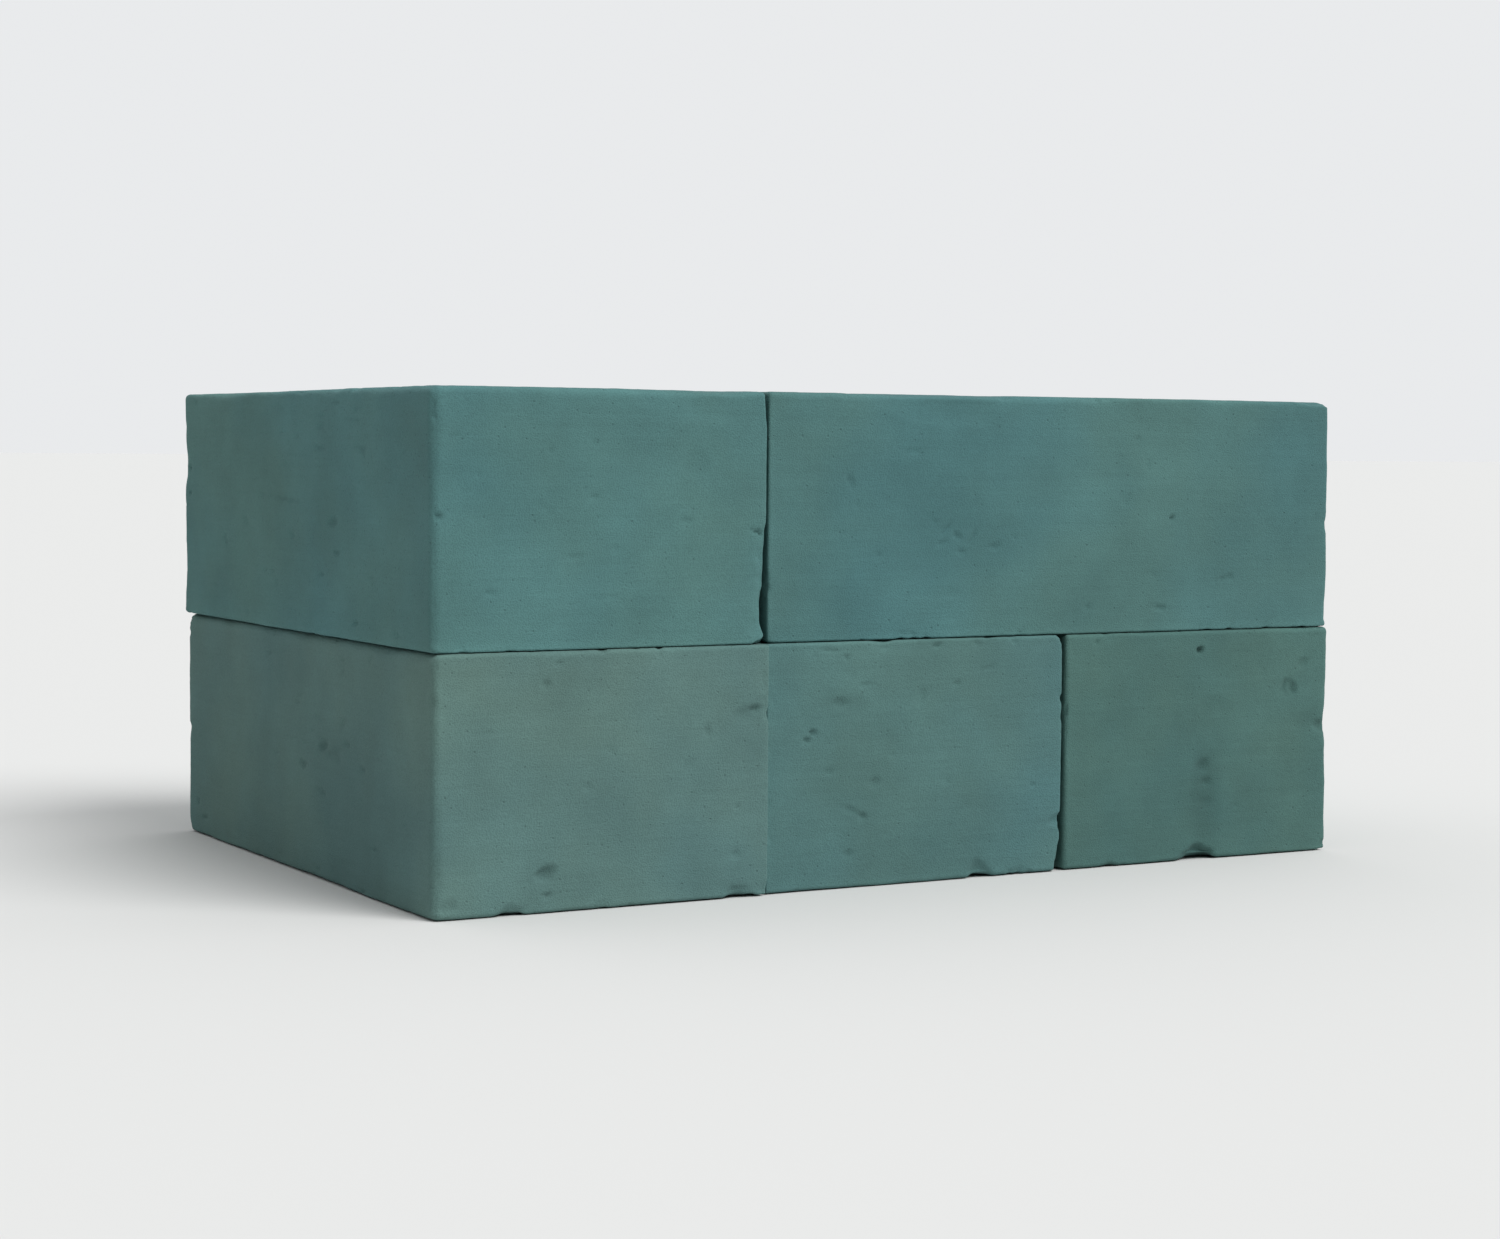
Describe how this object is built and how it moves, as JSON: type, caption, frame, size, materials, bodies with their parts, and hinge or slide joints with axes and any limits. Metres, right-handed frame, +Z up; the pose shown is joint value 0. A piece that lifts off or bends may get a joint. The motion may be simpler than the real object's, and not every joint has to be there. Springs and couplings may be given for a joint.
{
  "type": "floral foam brick stack",
  "caption": "Loose rectangular floral foam bricks in a staggered stack, each of which lifts or slides off to be soaked and cut to hold flower stems.",
  "frame": {"origin": "on the ground, in the middle of the stack's footprint, which is on the underside of the lower middle brick", "axes": "+X along the front from the left brick to the right one, +Y from the front to the back, +Z up"},
  "size_m": [0.3486, 0.2325, 0.1604],
  "materials": {
    "foam": "matte"
  },
  "bodies": {
    "lower_middle": {"lower_middle_brick": "foam"},
    "lower_left": {"lower_left_brick": "foam"},
    "lower_right": {"lower_right_brick": "foam"},
    "upper_left": {"upper_left_brick": "foam"},
    "upper_right": {"upper_right_brick": "foam"}
  },
  "joints": [
    {"name": "lower_left_push", "type": "slide", "parent": "lower_middle", "child": "lower_left", "axis": [-1, 0, 0], "range_m": [0, 0.13]},
    {"name": "upper_left_lift", "type": "slide", "parent": "lower_left", "child": "upper_left", "axis": [0, 0, 1], "range_m": [0, 0.1]},
    {"name": "lower_right_push", "type": "slide", "parent": "lower_middle", "child": "lower_right", "axis": [1, 0, 0], "range_m": [0, 0.13]},
    {"name": "upper_right_lift", "type": "slide", "parent": "lower_middle", "child": "upper_right", "axis": [0, 0, 1], "range_m": [0, 0.1]}
  ]
}
